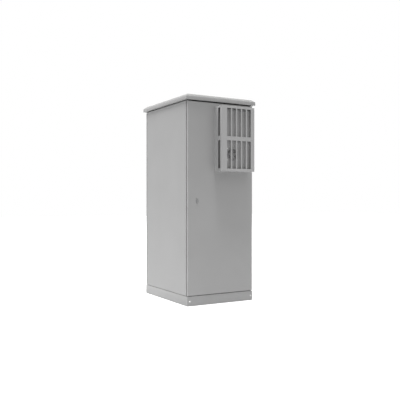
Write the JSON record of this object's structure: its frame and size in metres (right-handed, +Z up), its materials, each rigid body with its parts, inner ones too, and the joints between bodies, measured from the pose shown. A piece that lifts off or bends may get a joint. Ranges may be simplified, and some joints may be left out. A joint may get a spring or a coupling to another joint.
{
  "type": "roadside utility cabinet",
  "caption": "Tall free-standing outdoor equipment cabinet on a plinth, with an overhanging chamfered roof, a full-height locking door and a slotted cooling hood on the door.",
  "frame": {"origin": "middle of the plinth's underside, in the middle of the floor anchor holes", "axes": "+Z up, +X to the right and -Y to the front for someone facing the door"},
  "size_m": [0.85, 1.167, 2.163],
  "materials": {
    "cabinet_paint": "fine-textured light grey powder coat",
    "casing_paint": "mid grey powder coat",
    "fan_plastic": "moulded light grey",
    "zinc_steel": "galvanised sheet",
    "steel": "bright zinc plated",
    "seal_rubber": "matt foam rubber",
    "black_plastic": "moulded black",
    "lock_casting": "silver-grey coated die casting",
    "fin_aluminium": "bare rolled fins",
    "brass": "bare bar"
  },
  "bodies": {
    "cabinet": {"plinth_left": "cabinet_paint", "plinth_right": "cabinet_paint", "plinth_front_cover": "cabinet_paint", "plinth_rear_cover": "cabinet_paint", "plinth_screws": "steel", "base_bolts": "steel", "floor_plate": "zinc_steel", "floor_rims": "zinc_steel", "gland_plate": "zinc_steel", "cable_grommets": "seal_rubber", "post_front_left": "zinc_steel", "post_front_right": "zinc_steel", "post_rear_left": "zinc_steel", "post_rear_right": "zinc_steel", "top_plate": "zinc_steel", "top_rims": "zinc_steel", "side_panel_left": "cabinet_paint", "side_panel_right": "cabinet_paint", "rear_panel": "cabinet_paint", "rear_gasket": "seal_rubber", "rear_panel_bolts": "steel", "roof_canopy": "cabinet_paint", "roof_bearers": "zinc_steel", "roof_bolts": "steel", "rail_front_left": "zinc_steel", "rail_front_right": "zinc_steel", "rail_rear_left": "zinc_steel", "rail_rear_right": "zinc_steel", "depth_bars": "zinc_steel", "rail_brackets": "zinc_steel", "earth_bar": "brass", "earth_insulators": "black_plastic", "hinge_body_leaves": "steel", "hinge_pins": "steel"},
    "door": {"door_skin": "cabinet_paint", "hinge_door_leaves": "steel", "lock_stiffener": "zinc_steel", "hinge_stiffener": "zinc_steel", "door_gasket": "seal_rubber", "lock_body": "lock_casting", "lock_nut": "steel", "flap_pin": "steel", "rod_guides": "black_plastic", "cooler_hood": "cabinet_paint", "hood_bolts": "steel", "cooler_casing": "casing_paint", "exchanger_core": "fin_aluminium", "inner_housing": "cabinet_paint", "outer_fan_frame": "fan_plastic", "outer_fan_motor": "fan_plastic", "outer_fan_guard": "casing_paint", "inner_fan_frame": "fan_plastic", "inner_fan_motor": "fan_plastic", "inner_fan_guard": "casing_paint"},
    "lock": {"lock_core": "steel", "lock_cam": "steel"},
    "flap": {"dust_flap": "lock_casting"},
    "upper_rod": {"upper_rod": "steel"},
    "lower_rod": {"lower_rod": "steel"},
    "outer_rotor": {"outer_fan_rotor": "fan_plastic"},
    "inner_rotor": {"inner_fan_rotor": "fan_plastic"}
  },
  "joints": [
    {"name": "door_hinge", "type": "hinge", "parent": "cabinet", "child": "door", "pos_m": [0.3945, -0.475, 1.1], "axis": [0, 0, 1], "range_deg": [0, 120]},
    {"name": "lock_turn", "type": "hinge", "parent": "door", "child": "lock", "pos_m": [-0.289, -0.48, 1.076], "axis": [0, -1, 0], "range_deg": [0, 90]},
    {"name": "upper_rod_slide", "type": "slide", "parent": "door", "child": "upper_rod", "axis": [0, 0, 1], "range_m": [0, 0.0311]},
    {"name": "lower_rod_slide", "type": "slide", "parent": "door", "child": "lower_rod", "axis": [0, 0, -1], "range_m": [0, 0.0311]},
    {"name": "flap_hinge", "type": "hinge", "parent": "door", "child": "flap", "pos_m": [-0.289, -0.5123, 1.096], "axis": [-1, 0, 0], "range_deg": [0, 110]},
    {"name": "outer_fan_spin", "type": "hinge", "parent": "door", "child": "outer_rotor", "pos_m": [0.066, -0.56, 1.556], "axis": [0, 1, 0], "continuous": true},
    {"name": "inner_fan_spin", "type": "hinge", "parent": "door", "child": "inner_rotor", "pos_m": [0.066, -0.37, 1.556], "axis": [0, 1, 0], "continuous": true}
  ],
  "couplings": [
    {"joint": "lock_turn", "follows": "upper_rod_slide", "rad_per_m": 50.487},
    {"joint": "lower_rod_slide", "follows": "upper_rod_slide", "ratio": 1}
  ]
}
